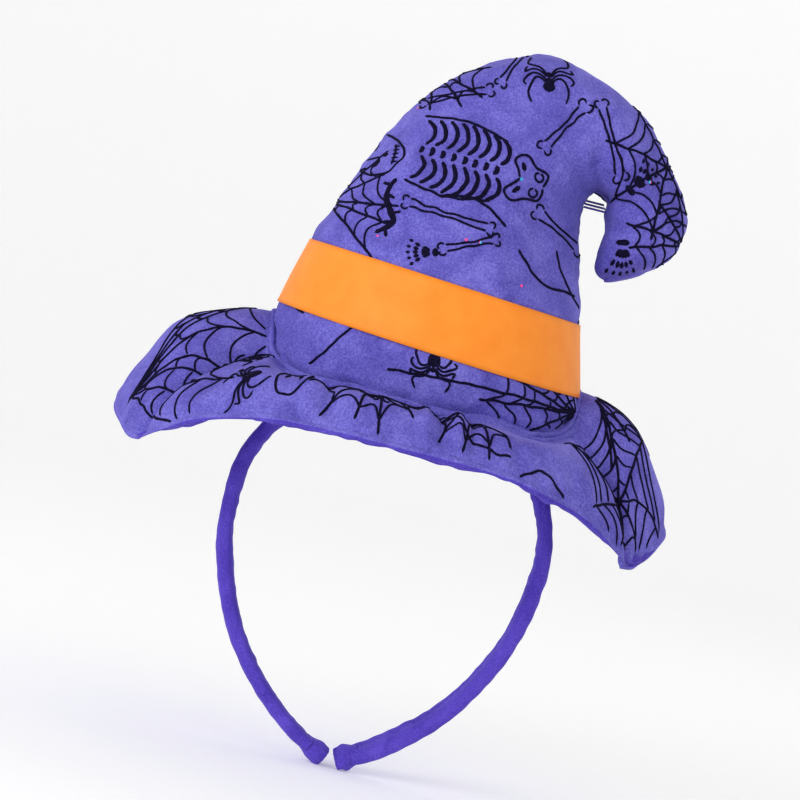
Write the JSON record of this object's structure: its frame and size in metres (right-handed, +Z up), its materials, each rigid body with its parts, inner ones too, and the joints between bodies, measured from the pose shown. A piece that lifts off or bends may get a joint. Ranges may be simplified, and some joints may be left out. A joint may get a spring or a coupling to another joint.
{
  "type": "witch hat headband",
  "caption": "Stuffed miniature witch hat with a bent tip, padded drooping brim and ribbon, sewn to a fabric-covered sprung headband.",
  "frame": {"origin": "middle of the headband's inner face, where it rests on the top of the head", "axes": "+Z up, +X towards the side the tip hangs on, the hat's front faces -Y"},
  "size_m": [0.2042, 0.16, 0.2694],
  "materials": {
    "printed_plush": "short velvet pile with a flocked near-black print",
    "plain_plush": "short velvet pile, plain",
    "polyester_filling": "loose fibre",
    "orange_ribbon": "smooth matt ribbon",
    "purple_thread": "sewing thread",
    "black_plastic": "smooth",
    "iridescent_glitter": "bright film"
  },
  "bodies": {
    "hat": {"crown_front_panel": "printed_plush", "crown_back_panel": "printed_plush", "brim_top_panel": "printed_plush", "brim_under_panel": "plain_plush", "crown_stuffing": "polyester_filling", "brim_wadding": "polyester_filling", "crown_hem_welt": "plain_plush", "ribbon_band": "orange_ribbon", "ribbon_end_lap": "orange_ribbon", "tip_tack_stitches": "purple_thread", "band_tack_loops": "purple_thread", "band_core_bridge": "black_plastic", "band_sleeve_bridge": "plain_plush", "glitter_specks": "iridescent_glitter"},
    "left_leg": {"band_core_left": "black_plastic", "band_sleeve_left": "plain_plush", "band_end_wrap_left": "plain_plush"},
    "right_leg": {"band_core_right": "black_plastic", "band_sleeve_right": "plain_plush", "band_end_wrap_right": "plain_plush"}
  },
  "joints": [
    {"name": "left_leg_flex", "type": "hinge", "parent": "hat", "child": "left_leg", "pos_m": [-0.03786, 0, -0.00894], "axis": [0, 1, 0], "range_deg": [0, 12], "stiffness_Nm_per_rad": 1.2},
    {"name": "right_leg_flex", "type": "hinge", "parent": "hat", "child": "right_leg", "pos_m": [0.03786, 0, -0.00894], "axis": [0, -1, 0], "range_deg": [0, 12], "stiffness_Nm_per_rad": 1.2}
  ]
}
